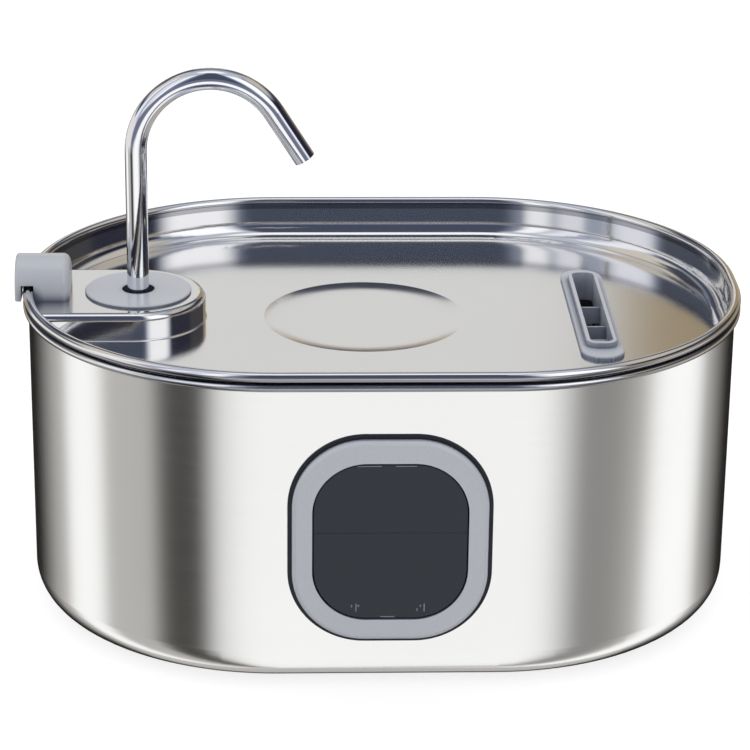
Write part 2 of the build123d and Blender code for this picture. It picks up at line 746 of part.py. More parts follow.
# ---------------------------------------------------------------- write every node
nodes = {
    "tank": make_tank,
    "base_pad": make_base_pad,
    "tray": make_tray,
    "cable_grommet": make_cable_grommet,
    "spout_tube": make_spout_tube,
    "spout_stop_ring": make_spout_stop_ring,
    "spout_flange": make_spout_flange,
    "spout_bush": make_spout_bush,
    "nut_washer": make_nut_washer,
    "spout_nut": make_spout_nut,
    "outlet_hose": make_outlet_hose,
    "drain_insert": make_drain_insert,
    "filter_basket": make_filter_basket,
    "filter_pad": make_filter_pad,
    "rim_clip": make_rim_clip,
    "window_bezel": make_window_bezel,
    "bezel_gasket": make_bezel_gasket,
    "window_pane": make_window_pane,
    "pane_gasket": make_pane_gasket,
    "window_frame": make_window_frame,
    "window_screws": make_window_screws,
    "pump_body": make_pump_body,
    "volute_cover": make_volute_cover,
    "shaft_bushes": make_shaft_bushes,
    "impeller_shaft": make_impeller_shaft,
    "impeller": make_impeller,
    "rotor_magnet": make_rotor_magnet,
    "pump_cover": make_pump_cover,
    "flow_slider": make_flow_slider,
    "intake_sponge": make_intake_sponge,
    "suction_cups": make_suction_cups,
    "cable_gland": make_cable_gland,
}

os.makedirs("parts", exist_ok=True)
for name, make in nodes.items():
    made = make()
    shape = Compound(children=made) if isinstance(made, list) else made
    export_step(shape, f"parts/{name}.step")
    print(name, round(shape.volume, 1))
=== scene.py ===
# %% [markdown]
# # A pet water fountain in stainless steel
# The object is a pressed steel tank with a lift-off tray, a chromed spout, a drain insert and a
# sight window. Its solids come ready made from the CAD frame, so this script is about looks: a
# studio that steel can mirror, a finish for every piece, the fine marks on the window, a camera.

# %% Load the frame
import math

import bmesh
import bpy
from mathutils import Matrix, Vector


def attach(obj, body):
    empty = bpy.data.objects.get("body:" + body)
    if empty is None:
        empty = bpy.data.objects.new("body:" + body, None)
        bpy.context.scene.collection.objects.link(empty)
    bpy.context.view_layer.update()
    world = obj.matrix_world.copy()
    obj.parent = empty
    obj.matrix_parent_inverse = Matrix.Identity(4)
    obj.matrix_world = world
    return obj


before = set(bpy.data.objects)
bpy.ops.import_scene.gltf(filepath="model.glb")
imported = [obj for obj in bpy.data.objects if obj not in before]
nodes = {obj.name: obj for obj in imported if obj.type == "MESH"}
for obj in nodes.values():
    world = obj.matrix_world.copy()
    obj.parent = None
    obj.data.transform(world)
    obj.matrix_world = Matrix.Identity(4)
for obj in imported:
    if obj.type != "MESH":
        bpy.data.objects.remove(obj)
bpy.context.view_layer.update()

MM = 0.001


def mm(*values):
    """Millimetres as a vector in metres."""
    return Vector([value * MM for value in values])


# %% [markdown]
# ## Camera
# A long lens a little above the rim flattens the perspective and opens the tray's floor to view.
# A tripod head gives a yaw, a pitch and a small roll, so the camera's matrix is built from those.

# %% Camera
CAMERA_PLACE = mm(-47.107, -1138.059, 536.448)
CAMERA_YAW, CAMERA_PITCH, CAMERA_ROLL = (math.radians(angle) for angle in (2.252, 21.417, 0.666))
LENS_IN_SENSOR_WIDTHS = 3.9572
SENSOR_WIDTH = 36
VIEW_DEPTH = 50

forward = Vector((
    math.sin(CAMERA_YAW) * math.cos(CAMERA_PITCH),
    math.cos(CAMERA_YAW) * math.cos(CAMERA_PITCH),
    -math.sin(CAMERA_PITCH),
))
level_right = Vector((math.cos(CAMERA_YAW), -math.sin(CAMERA_YAW), 0))
level_up = level_right.cross(forward)
right = level_right * math.cos(CAMERA_ROLL) + level_up * math.sin(CAMERA_ROLL)
up = level_up * math.cos(CAMERA_ROLL) - level_right * math.sin(CAMERA_ROLL)

camera_data = bpy.data.cameras.new("camera")
camera_data.sensor_width = SENSOR_WIDTH
camera_data.lens = LENS_IN_SENSOR_WIDTHS * SENSOR_WIDTH
camera_data.clip_end = VIEW_DEPTH
camera = bpy.data.objects.new("camera", camera_data)
camera.matrix_world = Matrix((
    (right.x, up.x, -forward.x, CAMERA_PLACE.x),
    (right.y, up.y, -forward.y, CAMERA_PLACE.y),
    (right.z, up.z, -forward.z, CAMERA_PLACE.z),
    (0, 0, 0, 1),
))
bpy.context.scene.collection.objects.link(camera)
bpy.context.scene.camera = camera
bpy.context.scene.view_settings.view_transform = "Standard"
print("lens", round(camera_data.lens, 1), "mm")


# %% [markdown]
# ## Colours and nodes
# Colours are written as sRGB hex, as on a paint chart, and one function turns them linear for the
# shader. A second small function adds any node with its links, its values and its settings.

# %% Helpers for materials
def colour(code, gain=1.0):
    """An sRGB hex colour as linear RGBA."""
    parts = [int(code[i:i + 2], 16) / 255 for i in (0, 2, 4)]
    linear = [c / 12.92 if c <= 0.04045 else ((c + 0.055) / 1.055) ** 2.4 for c in parts]
    return [c * gain for c in linear] + [1.0]


def add_node(tree, kind, links=None, values=None, **settings):
    """Adds a node: settings are its properties, values its sockets, links what feeds them."""
    node = tree.nodes.new(kind)
    for key, value in settings.items():
        setattr(node, key, value)
    for socket, value in (values or {}).items():
        node.inputs[socket].default_value = value
    for socket, source in (links or {}).items():
        tree.links.new(source, node.inputs[socket])
    return node


# %% [markdown]
# ## Studio
# Polished steel has no look of its own: it shows the room. So the room is a set of cards that
# stand round the object, as they do in a studio. Each card has its middle and its half width in
# degrees (0 is in front, plus is to the right), the softness of its two sides, its lowest and
# highest elevation with the softness of those, its colour, and its strength. Later cards stand
# in front of earlier ones. A card of half width 180 goes all round and has no sides, and a card
# that reaches straight up or down has no edge there. Only mirrors see the cards: matt surfaces
# get one plain light from above, and the camera sees white.

# %% Studio cards
ALL_ROUND = 180
STRAIGHT_UP = 90
STUDIO_CARDS = [
    # middle, half, soft, low, high, soft, colour, strength
    (0, ALL_ROUND, 0, -90, -14, 3, "c4c2bf", 1.0),   # floor sheet
    (0, ALL_ROUND, 0, -14, 8, 3, "75788e", 1.0),     # far edge of the sheet
    (0, ALL_ROUND, 0, 8, 62, 4, "8b92a4", 1.0),      # walls
    (178, 45, 21, -55, -14, 5, "1d1a17", 1.0),       # dark behind
    (180, 9, 6, -55, -14, 5, "55524e", 1.0),         # grey door behind
    (-101.5, 9.5, 9, -90, 8, 5, "ffffff", 1.17),     # side card, left
    (96.5, 14, 11, -90, -14, 4, "ffffff", 1.2),      # side card, right
    (-44, 10.5, 8.5, -90, -14, 3, "494845", 1.0),    # flag, front left
    (44, 18, 14, -90, -14, 3, "959492", 1.0),        # half flag, front right
    (3.5, 25.5, 16, -90, -14, 3, "ffffff", 1.12),    # white sweep in front
    (-99, 43, 8, -14, 10, 3, "f0eeea", 1.0),         # white table, left
    (-158, 18, 5, -14, 10, 3, "a3988a", 1.0),        # tan table, left behind
    (104, 50, 8, -14, 12, 3, "9c8f7a", 1.0),         # wooden table, right
    (0.5, 16, 5, 8, 78, 5, "495063", 1.0),           # blue-black wall in front
    (108, 34, 8, 35, 60, 5, "c9c2b5", 1.0),          # cream wall, right
    (85, 24, 4, 10, 30, 4, "252738", 1.0),           # blue-black wall, right
    (127, 24, 4, 10, 30, 4, "403f43", 1.0),          # brown-black wall, right behind
    (39.5, 16.2, 6.5, 8, 62, 5, "fbfcff", 1.25),     # soft box, front right
    (-64, 32, 5, 8, 62, 5, "ced3de", 1.0),           # pale wall, left
    (-29, 4.5, 4, 8, 62, 5, "fbfcff", 1.15),         # strip light, front left
    (-47, 5, 4, 8, 62, 5, "f4f6ff", 1.0),            # strip light, left
    (-59.5, 3.5, 4, 8, 62, 5, "a9b0c2", 1.0),        # grey panel, left
    (-82, 9, 6, 8, 62, 5, "f4f6ff", 1.05),           # strip light, far left
    (-120, 28, 8, 28, 62, 4, "d6d0c5", 1.0),         # cream wall, left behind
    (-136, 36, 5, 14, 24, 4, "434958", 1.0),         # blue-black wall, left behind
    (-150, 26, 5, 28, 44, 4, "454955", 1.0),         # dark rail, left behind
    (180, 27, 3, 28, 42, 3, "3c404c", 1.0),          # dark rail behind
    (162, 11.5, 1.5, -12, 29, 3, "a09073", 1.0),     # wooden wall, right behind
    (-179.7, 7.4, 0.9, -12, 29, 3, "e1e1e0", 1.0),   # pale wall behind
    (180, 30, 3, -12, 12, 3, "b3a48f", 1.0),         # wooden skirting behind
    (0, ALL_ROUND, 0, 78, 90, 3, "ffffff", 1.1),     # lamp overhead
]
ROOM_TOP, ROOM_TOP_STRENGTH = "c3c8d4", 1.0
SOFT_LIGHT_LOW, SOFT_LIGHT_HIGH = "c4c8d2", "ffffff"
SOFT_LIGHT_FROM, SOFT_LIGHT_TO = -0.3, 0.7


def build_studio():
    """The world: cards for mirrors, a plain soft light for matt surfaces, white for the camera."""
    world = bpy.data.worlds.new("studio")
    bpy.context.scene.world = world
    world.use_nodes = True
    tree = world.node_tree
    tree.nodes.clear()
    where = add_node(tree, "ShaderNodeTexCoord").outputs["Generated"]
    axes = add_node(tree, "ShaderNodeSeparateXYZ", {0: where})
    height = axes.outputs["Z"]
    flat = add_node(tree, "ShaderNodeCombineXYZ", {0: axes.outputs["X"], 1: axes.outputs["Y"]})
    heading = add_node(tree, "ShaderNodeVectorMath", {0: flat.outputs[0]}, operation="NORMALIZE")
    room = None
    for middle, half, soft, low, high, edge, code, strength in STUDIO_CARDS:
        masks = []
        if half != ALL_ROUND:
            aim = (math.sin(math.radians(middle)), -math.cos(math.radians(middle)), 0)
            turn = add_node(
                tree, "ShaderNodeVectorMath", {0: heading.outputs[0]}, {1: aim},
                operation="DOT_PRODUCT")
            outer = math.cos(math.radians(half + soft))
            inner = math.cos(math.radians(max(half - soft, 0)))
            masks.append(add_node(
                tree, "ShaderNodeMapRange", {0: turn.outputs["Value"]}, {1: outer, 2: inner},
                interpolation_type="SMOOTHSTEP"))
        for level, side in ((low, 1), (high, -1)):
            if abs(level) != STRAIGHT_UP:
                start = math.sin(math.radians(level - side * edge))
                end = math.sin(math.radians(level + side * edge))
                masks.append(add_node(
                    tree, "ShaderNodeMapRange", {0: height}, {1: start, 2: end},
                    interpolation_type="SMOOTHSTEP"))
        mask = masks[0]
        for other in masks[1:]:
            mask = add_node(
                tree, "ShaderNodeMath", {0: mask.outputs[0], 1: other.outputs[0]},
                operation="MULTIPLY")
        stack = add_node(
            tree, "ShaderNodeMix", {"Factor": mask.outputs[0]}, {"B": colour(code, strength)},
            data_type="RGBA")
        if room is None:
            stack.inputs["A"].default_value = colour(ROOM_TOP, ROOM_TOP_STRENGTH)
        else:
            tree.links.new(room, stack.inputs["A"])
        room = stack.outputs["Result"]
    path = add_node(tree, "ShaderNodeLightPath")
    mirror = add_node(
        tree, "ShaderNodeMath",
        {0: path.outputs["Is Glossy Ray"], 1: path.outputs["Is Transmission Ray"]},
        operation="MAXIMUM")
    rise = add_node(
        tree, "ShaderNodeMapRange", {0: height}, {1: SOFT_LIGHT_FROM, 2: SOFT_LIGHT_TO})
    matt = add_node(
        tree, "ShaderNodeMix", {"Factor": rise.outputs[0]},
        {"A": colour(SOFT_LIGHT_LOW), "B": colour(SOFT_LIGHT_HIGH)}, data_type="RGBA")
    seen = add_node(
        tree, "ShaderNodeMix",
        {"Factor": path.outputs["Is Camera Ray"], "A": matt.outputs["Result"]},
        {"B": colour("ffffff")}, data_type="RGBA")
    pick = add_node(
        tree, "ShaderNodeMix",
        {"Factor": mirror.outputs[0], "A": seen.outputs["Result"], "B": room}, data_type="RGBA")
    light = add_node(tree, "ShaderNodeBackground", {"Color": pick.outputs["Result"]})
    add_node(tree, "ShaderNodeOutputWorld", {"Surface": light.outputs[0]})
    print("studio cards:", len(STUDIO_CARDS))


build_studio()

# %% [markdown]
# The floor is a wide sheet of paper. Its own grey is lit by the studio and takes the object's
# shadow, and a glow that only the camera sees lifts it to white, so that the white comes from
# the sheet and not from more light on the object.

# %% Floor
FLOOR_SIZE = 24
FLOOR_PAPER, FLOOR_GLOW = "bcbcbc", 0.66

bpy.ops.mesh.primitive_plane_add(size=FLOOR_SIZE)
floor = bpy.context.object
floor.name = "floor"
floor.visible_glossy = False
paper = bpy.data.materials.new("matt_paper_floor")
paper.use_nodes = True
paper.node_tree.nodes.clear()
sheet = add_node(paper.node_tree, "ShaderNodeBsdfDiffuse", values={"Color": colour(FLOOR_PAPER)})
path = add_node(paper.node_tree, "ShaderNodeLightPath")
lift = add_node(
    paper.node_tree, "ShaderNodeMath", {0: path.outputs["Is Camera Ray"]}, {1: FLOOR_GLOW},
    operation="MULTIPLY")
glow = add_node(paper.node_tree, "ShaderNodeEmission", {"Strength": lift.outputs[0]})
both = add_node(paper.node_tree, "ShaderNodeAddShader", {0: sheet.outputs[0], 1: glow.outputs[0]})
add_node(paper.node_tree, "ShaderNodeOutputMaterial", {"Surface": both.outputs[0]})
floor.data.materials.append(paper)
print("floor", FLOOR_SIZE, "m wide")


# %% [markdown]
# ## Finishes
# Every finish starts from a principled shader. Patterns read the piece's own Object coordinates,
# which are metres, so a pattern of a given size in millimetres needs a scale of 1000 over that
# size. A larger size along one axis draws the pattern out into lines along that axis. A noise
# pattern keeps to the middle of its range, so a map from noise starts and ends there.

# %% A new finish
NOISE_LOW, NOISE_HIGH = 0.3, 0.7


def new_finish(name, code, roughness, metallic=0.0):
    """A material with its principled shader, named for the real finish."""
    material = bpy.data.materials.new(name)
    material.use_nodes = True
    tree = material.node_tree
    shader = tree.nodes["Principled BSDF"]
    shader.inputs["Base Color"].default_value = colour(code)
    shader.inputs["Roughness"].default_value = roughness
    shader.inputs["Metallic"].default_value = metallic
    return material, tree, shader


def scales(*sizes):
    """Mapping scales for a pattern whose features measure these millimetres along X, Y and Z."""
    sizes = sizes * 3 if len(sizes) == 1 else sizes
    return [1 / (size * MM) for size in sizes]


# %% [markdown]
# ### Rolled lips
# The tank and the tray both end in a rolled lip. The underside of each lip is painted darker,
# as painted shade, and the crown of the tank's lip is painted darker too, as the shade of the
# tray's lip, which lies on it. Both are a painted shade at the lip's height, where the steel
# faces down or up. Each pair says where a change starts and where it is full: heights in
# millimetres, and how much the surface faces up, from 1 (up) to -1 (down).

# %% Rolled lips
TANK_LIP_HEIGHTS = 124.2, 124.8
TRAY_LIP_HEIGHTS = 127.4, 127.8
FACES_DOWN = 0.12, -0.05
FACES_UP = 0.6, 0.8
# Painted shade: under both rolled lips, and on the tank lip's crown where the tray's lip lies on
# it.
PAINTED_SHADE_UNDER_LIP = "88888c"
PAINTED_SHADE_ON_CROWN = "666b7a"


def paint_lip_shade(tree, texture, tint, faces, heights, code):
    """A painted shade on the side of a rolled lip that faces up or down, over the tint so far."""
    facing = add_node(tree, "ShaderNodeSeparateXYZ", {0: texture.outputs["Normal"]})
    turned = add_node(
        tree, "ShaderNodeMapRange", {0: facing.outputs["Z"]}, {1: faces[0], 2: faces[1]})
    place = add_node(tree, "ShaderNodeSeparateXYZ", {0: texture.outputs["Object"]})
    at_lip = add_node(
        tree, "ShaderNodeMapRange", {0: place.outputs["Z"]},
        {1: heights[0] * MM, 2: heights[1] * MM})
    side = add_node(
        tree, "ShaderNodeMath", {0: turned.outputs[0], 1: at_lip.outputs[0]},
        operation="MULTIPLY")
    return add_node(
        tree, "ShaderNodeMix", {"Factor": side.outputs[0], "A": tint.outputs["Result"]},
        {"B": colour(code)}, data_type="RGBA")


# %% [markdown]
# ### Satin steel tank
# The tank is drawn from 0.8 mm stainless sheet and satin polished with a belt that runs round it.
# The belt leaves fine level lines, which blur a reflection up and down and keep it sharp
# sideways. Real lines are a few hundredths of a millimetre wide: here they are a quarter of a
# millimetre, so that they show at all. Slow clouds stand for the uneven pressure of the belt.

# %% Satin steel tank
BELT_LINE_WIDTH, BELT_LINE_LENGTH, BELT_LINE_DEPTH = 0.25, 30, 0.0006
BELT_CLOUD = 60
BELT_SHARPEST, BELT_DULLEST = 0.15, 0.19


def satin_steel():
    material, tree, shader = new_finish("satin_stainless_steel_belt_polished", "e9e9e8", 0.17, 1.0)
    texture = add_node(tree, "ShaderNodeTexCoord")
    where = texture.outputs["Object"]
    belt = scales(BELT_LINE_LENGTH, BELT_LINE_LENGTH, BELT_LINE_WIDTH)
    along = add_node(tree, "ShaderNodeMapping", {"Vector": where}, {"Scale": belt})
    lines = add_node(
        tree, "ShaderNodeTexNoise", {"Vector": along.outputs[0]}, {"Scale": 1, "Detail": 2})
    wide = add_node(tree, "ShaderNodeMapping", {"Vector": where}, {"Scale": scales(BELT_CLOUD)})
    clouds = add_node(tree, "ShaderNodeTexNoise", {"Vector": wide.outputs[0]}, {"Scale": 1})
    rough = add_node(
        tree, "ShaderNodeMapRange", {0: lines.outputs[0]},
        {1: NOISE_LOW, 2: NOISE_HIGH, 3: BELT_SHARPEST, 4: BELT_DULLEST})
    tree.links.new(rough.outputs[0], shader.inputs["Roughness"])
    tint = add_node(
        tree, "ShaderNodeMix", {"Factor": clouds.outputs[0]},
        {"A": colour("ebebea"), "B": colour("e6e6e5")}, data_type="RGBA")
    # Painted shade under the tank's lip and on its crown.
    shaded_under_lip = paint_lip_shade(tree, texture, tint, FACES_DOWN, TANK_LIP_HEIGHTS, PAINTED_SHADE_UNDER_LIP)
    with_painted_shade = paint_lip_shade(tree, texture, shaded_under_lip, FACES_UP, TANK_LIP_HEIGHTS, PAINTED_SHADE_ON_CROWN)
    tree.links.new(with_painted_shade.outputs["Result"], shader.inputs["Base Color"])
    relief = add_node(
        tree, "ShaderNodeBump", {"Height": lines.outputs[0]}, {"Distance": BELT_LINE_DEPTH * MM})
    tree.links.new(relief.outputs[0], shader.inputs["Normal"])
    return material


# %% [markdown]
# ### Buffed steel tray
# The tray is pressed from the same sheet and buffed bright. A flat wheel can't reach its walls and
# bends, which keep the mirror of the press tool, while the open floor has a faint haze from years
# of wiping. So the roughness follows the way the surface faces: low on walls, higher on the floor.

# %% Buffed steel tray
BEND_ENDS, FLOOR_STARTS = 0.9, 0.99
WALL_ROUGHNESS, FLOOR_ROUGHNESS = 0.08, 0.125
HAZE_SPOT, HAZE_DRIFT = 9, 0.006
WIPING_CLOUD = 70


def buffed_steel():
    material, tree, shader = new_finish("bright_stainless_steel_buffed", "ebebea", 0.13, 1.0)
    texture = add_node(tree, "ShaderNodeTexCoord")
    where = texture.outputs["Object"]
    facing = add_node(tree, "ShaderNodeSeparateXYZ", {0: texture.outputs["Normal"]})
    polish = add_node(
        tree, "ShaderNodeMapRange", {0: facing.outputs["Z"]},
        {1: BEND_ENDS, 2: FLOOR_STARTS, 3: WALL_ROUGHNESS, 4: FLOOR_ROUGHNESS})
    fine = add_node(tree, "ShaderNodeMapping", {"Vector": where}, {"Scale": scales(HAZE_SPOT)})
    haze = add_node(
        tree, "ShaderNodeTexNoise", {"Vector": fine.outputs[0]}, {"Scale": 1, "Detail": 5})
    drift = add_node(
        tree, "ShaderNodeMapRange", {0: haze.outputs[0]},
        {1: NOISE_LOW, 2: NOISE_HIGH, 3: -HAZE_DRIFT, 4: HAZE_DRIFT})
    rough = add_node(tree, "ShaderNodeMath", {0: polish.outputs[0], 1: drift.outputs[0]})
    tree.links.new(rough.outputs[0], shader.inputs["Roughness"])
    wide = add_node(tree, "ShaderNodeMapping", {"Vector": where}, {"Scale": scales(WIPING_CLOUD)})
    clouds = add_node(tree, "ShaderNodeTexNoise", {"Vector": wide.outputs[0]}, {"Scale": 1})
    tint = add_node(
        tree, "ShaderNodeMix", {"Factor": clouds.outputs[0]},
        {"A": colour("edecec"), "B": colour("e7e7e7")}, data_type="RGBA")
    # Painted shade under the tray's lip.
    shaded_under_lip = paint_lip_shade(tree, texture, tint, FACES_DOWN, TRAY_LIP_HEIGHTS, PAINTED_SHADE_UNDER_LIP)
    tree.links.new(shaded_under_lip.outputs["Result"], shader.inputs["Base Color"])
    return material


# %% [markdown]
# ### Chromed spout and cold headed screws
# The spout is bent tube with a chrome plate over nickel: a clean mirror with a cold cast, a
# little duller in spots. The screws are upset from wire, which leaves a duller, grainy metal.

# %% Chromed spout and screws
PLATE_SPOT = 6
PLATE_SHARPEST, PLATE_DULLEST = 0.03, 0.055
SCREW_GRAIN, SCREW_GRAIN_DEPTH = 0.4, 0.004
SCREW_SHARPEST, SCREW_DULLEST = 0.25, 0.4


def chrome_plate():
    material, tree, shader = new_finish("chrome_plate_on_tube", "ecedf0", 0.04, 1.0)
    where = add_node(tree, "ShaderNodeTexCoord").outputs["Object"]
    fine = add_node(tree, "ShaderNodeMapping", {"Vector": where}, {"Scale": scales(PLATE_SPOT)})
    haze = add_node(
        tree, "ShaderNodeTexNoise", {"Vector": fine.outputs[0]}, {"Scale": 1, "Detail": 4})
    rough = add_node(
        tree, "ShaderNodeMapRange", {0: haze.outputs[0]},
        {1: NOISE_LOW, 2: NOISE_HIGH, 3: PLATE_SHARPEST, 4: PLATE_DULLEST})
    tree.links.new(rough.outputs[0], shader.inputs["Roughness"])
    return material


def screw_steel():
    material, tree, shader = new_finish("stainless_steel_cold_headed", "c9c8c5", 0.3, 1.0)
    where = add_node(tree, "ShaderNodeTexCoord").outputs["Object"]
    fine = add_node(tree, "ShaderNodeMapping", {"Vector": where}, {"Scale": scales(SCREW_GRAIN)})
    grains = add_node(tree, "ShaderNodeTexNoise", {"Vector": fine.outputs[0]}, {"Scale": 1})
    rough = add_node(
        tree, "ShaderNodeMapRange", {0: grains.outputs[0]},
        {1: NOISE_LOW, 2: NOISE_HIGH, 3: SCREW_SHARPEST, 4: SCREW_DULLEST})
    tree.links.new(rough.outputs[0], shader.inputs["Roughness"])
    relief = add_node(
        tree, "ShaderNodeBump", {"Height": grains.outputs[0]},
        {"Distance": SCREW_GRAIN_DEPTH * MM})
    tree.links.new(relief.outputs[0], shader.inputs["Normal"])
    return material


# %% [markdown]
# ### Moulded plastics
# The trim is ABS from a polished mould with the faintest spark-eroded grain, which turns a
# highlight into a soft sheen. The pump is a darker moulding of the same kind with a coarser
# grain. A slow drift in the colour is what a moulding shows where the melt has flowed. Where the
# Ambient Occlusion node finds a corner, the colour goes darker: that is painted shade.

# %% Moulded plastics
PLASTIC_IOR = 1.53
SHARPEST_SHARE, DULLEST_SHARE = 0.9, 1.15
MELT_CLOUD = 25
CORNER_SAMPLES = 8
CORNER_CLOSED, CORNER_OPEN = 0.45, 0.95


def moulded(name, code_a, code_b, roughness, grain=0.35, depth=0.002, corner=None, reach=3.0):
    """A moulded plastic: two shades, a grain of some width and depth, a painted shade in its
    corners.

    The painted shade starts where the piece is shut in by something nearer than its reach.
    """
    material, tree, shader = new_finish(name, code_a, roughness)
    shader.inputs["IOR"].default_value = PLASTIC_IOR
    where = add_node(tree, "ShaderNodeTexCoord").outputs["Object"]
    fine = add_node(tree, "ShaderNodeMapping", {"Vector": where}, {"Scale": scales(grain)})
    grains = add_node(tree, "ShaderNodeTexNoise", {"Vector": fine.outputs[0]}, {"Scale": 1})
    rough = add_node(
        tree, "ShaderNodeMapRange", {0: grains.outputs[0]},
        {1: NOISE_LOW, 2: NOISE_HIGH, 3: roughness * SHARPEST_SHARE, 4: roughness * DULLEST_SHARE})
    tree.links.new(rough.outputs[0], shader.inputs["Roughness"])
    relief = add_node(
        tree, "ShaderNodeBump", {"Height": grains.outputs[0]}, {"Distance": depth * MM})
    tree.links.new(relief.outputs[0], shader.inputs["Normal"])
    wide = add_node(tree, "ShaderNodeMapping", {"Vector": where}, {"Scale": scales(MELT_CLOUD)})
    flow = add_node(tree, "ShaderNodeTexNoise", {"Vector": wide.outputs[0]}, {"Scale": 1})
    tint = add_node(
        tree, "ShaderNodeMix", {"Factor": flow.outputs[0]},
        {"A": colour(code_a), "B": colour(code_b)}, data_type="RGBA")
    surface = tint.outputs["Result"]
    # Painted shade: darker where the Ambient Occlusion node finds a corner.
    if corner:
        hidden = add_node(
            tree, "ShaderNodeAmbientOcclusion", values={"Distance": reach * MM},
            samples=CORNER_SAMPLES)
        open_air = add_node(
            tree, "ShaderNodeMapRange", {0: hidden.outputs["AO"]},
            {1: CORNER_CLOSED, 2: CORNER_OPEN})
        with_painted_shade = add_node(
            tree, "ShaderNodeMix", {"Factor": open_air.outputs[0], "B": surface},
            {"A": colour(corner)}, data_type="RGBA")
        surface = with_painted_shade.outputs["Result"]
    tree.links.new(surface, shader.inputs["Base Color"])
    return material


# %% [markdown]
# ### Smoked window
# The pane is acrylic, tinted in the mass and polished, so it is dark and mirrors the room only
# faintly. A level line is cut across it, and the CAD pane has it as a shallow groove with square
# sides. A real cutter leaves the sides rounded, and their tilt is what shows as a darker stroke,
# so a bump a little wider than the groove rounds them.

# %% Smoked window
LEVEL_LINE_Z = 68.1
LEVEL_LINE_HALF = 0.45
LEVEL_LINE_DEPTH = 0.035
ACRYLIC_IOR, ACRYLIC_CLEARNESS = 1.43, 0.5
PANE_RIPPLE = 14
PANE_SHARPEST, PANE_DULLEST = 0.03, 0.06


def smoked_acrylic():
    material, tree, shader = new_finish("smoked_acrylic_polished", "1d2a3e", 0.04)
    shader.inputs["IOR"].default_value = ACRYLIC_IOR
    shader.inputs["Transmission Weight"].default_value = ACRYLIC_CLEARNESS
    where = add_node(tree, "ShaderNodeTexCoord").outputs["Object"]
    wide = add_node(tree, "ShaderNodeMapping", {"Vector": where}, {"Scale": scales(PANE_RIPPLE)})
    ripple = add_node(tree, "ShaderNodeTexNoise", {"Vector": wide.outputs[0]}, {"Scale": 1})
    rough = add_node(
        tree, "ShaderNodeMapRange", {0: ripple.outputs[0]},
        {1: NOISE_LOW, 2: NOISE_HIGH, 3: PANE_SHARPEST, 4: PANE_DULLEST})
    tree.links.new(rough.outputs[0], shader.inputs["Roughness"])
    axes = add_node(tree, "ShaderNodeSeparateXYZ", {0: where})
    from_line = add_node(
        tree, "ShaderNodeMath", {0: axes.outputs["Z"]}, {1: LEVEL_LINE_Z * MM},
        operation="SUBTRACT")
    distance = add_node(
        tree, "ShaderNodeMath", {0: from_line.outputs[0]}, operation="ABSOLUTE")
    groove = add_node(
        tree, "ShaderNodeMapRange", {0: distance.outputs[0]}, {1: 0, 2: LEVEL_LINE_HALF * MM},
        interpolation_type="SMOOTHSTEP")
    relief = add_node(
        tree, "ShaderNodeBump", {"Height": groove.outputs[0]}, {"Distance": LEVEL_LINE_DEPTH * MM})
    tree.links.new(relief.outputs[0], shader.inputs["Normal"])
    return material


# %% [markdown]
# ### Rubbers
# Silicone seals are matt with a faint bloom, and the milky hose and cups let some light in.

# %% Rubbers
SILICONE_IOR = 1.41
BLOOM_SPOT = 3
BLOOM_SHARPEST, BLOOM_DULLEST = 0.42, 0.58
SILICONE_GRAIN, SILICONE_GRAIN_DEPTH = 0.5, 0.006


def silicone(name, code_a, code_b, clear=0.0):
    """A silicone rubber: two shades for its bloom, and how much light it lets through."""
    material, tree, shader = new_finish(name, code_a, 0.5)
    shader.inputs["IOR"].default_value = SILICONE_IOR
    shader.inputs["Transmission Weight"].default_value = clear
    where = add_node(tree, "ShaderNodeTexCoord").outputs["Object"]
    wide = add_node(tree, "ShaderNodeMapping", {"Vector": where}, {"Scale": scales(BLOOM_SPOT)})
    bloom = add_node(
        tree, "ShaderNodeTexNoise", {"Vector": wide.outputs[0]}, {"Scale": 1, "Detail": 5})
    rough = add_node(
        tree, "ShaderNodeMapRange", {0: bloom.outputs[0]},
        {1: NOISE_LOW, 2: NOISE_HIGH, 3: BLOOM_SHARPEST, 4: BLOOM_DULLEST})
    tree.links.new(rough.outputs[0], shader.inputs["Roughness"])
    tint = add_node(
        tree, "ShaderNodeMix", {"Factor": bloom.outputs[0]},
        {"A": colour(code_a), "B": colour(code_b)}, data_type="RGBA")
    tree.links.new(tint.outputs["Result"], shader.inputs["Base Color"])
    fine = add_node(
        tree, "ShaderNodeMapping", {"Vector": where}, {"Scale": scales(SILICONE_GRAIN)})
    grains = add_node(tree, "ShaderNodeTexNoise", {"Vector": fine.outputs[0]}, {"Scale": 1})
    relief = add_node(
        tree, "ShaderNodeBump", {"Height": grains.outputs[0]},
        {"Distance": SILICONE_GRAIN_DEPTH * MM})
    tree.links.new(relief.outputs[0], shader.inputs["Normal"])
    return material


# %% [markdown]
# ### Sponge, filter pad and ceramic
# The intake sponge is an open foam with cells about a millimetre wide, drawn with a Voronoi
# pattern whose cell walls stand up. The filter pad is needled fibre full of carbon grains, which
# show as dark specks between level fibres. The pump's shaft is a ceramic pin, ground to size,
# which leaves very fine rings along it.

# %% Sponge, filter pad and ceramic
SPONGE_CELL, SPONGE_CELL_DEPTH = 1.1, 0.5
FIBRE_LENGTH, FIBRE_WIDTH, FIBRE_DEPTH = 2.4, 0.3, 0.12
CARBON_GRAIN = 1.6
CARBON_EDGE, CARBON_CLEAR = 0.25, 0.45
GRINDING_RING, GRINDING_STRETCH, GRINDING_DEPTH = 0.2, 4, 0.002
GRINDING_SHARPEST, GRINDING_DULLEST = 0.2, 0.35


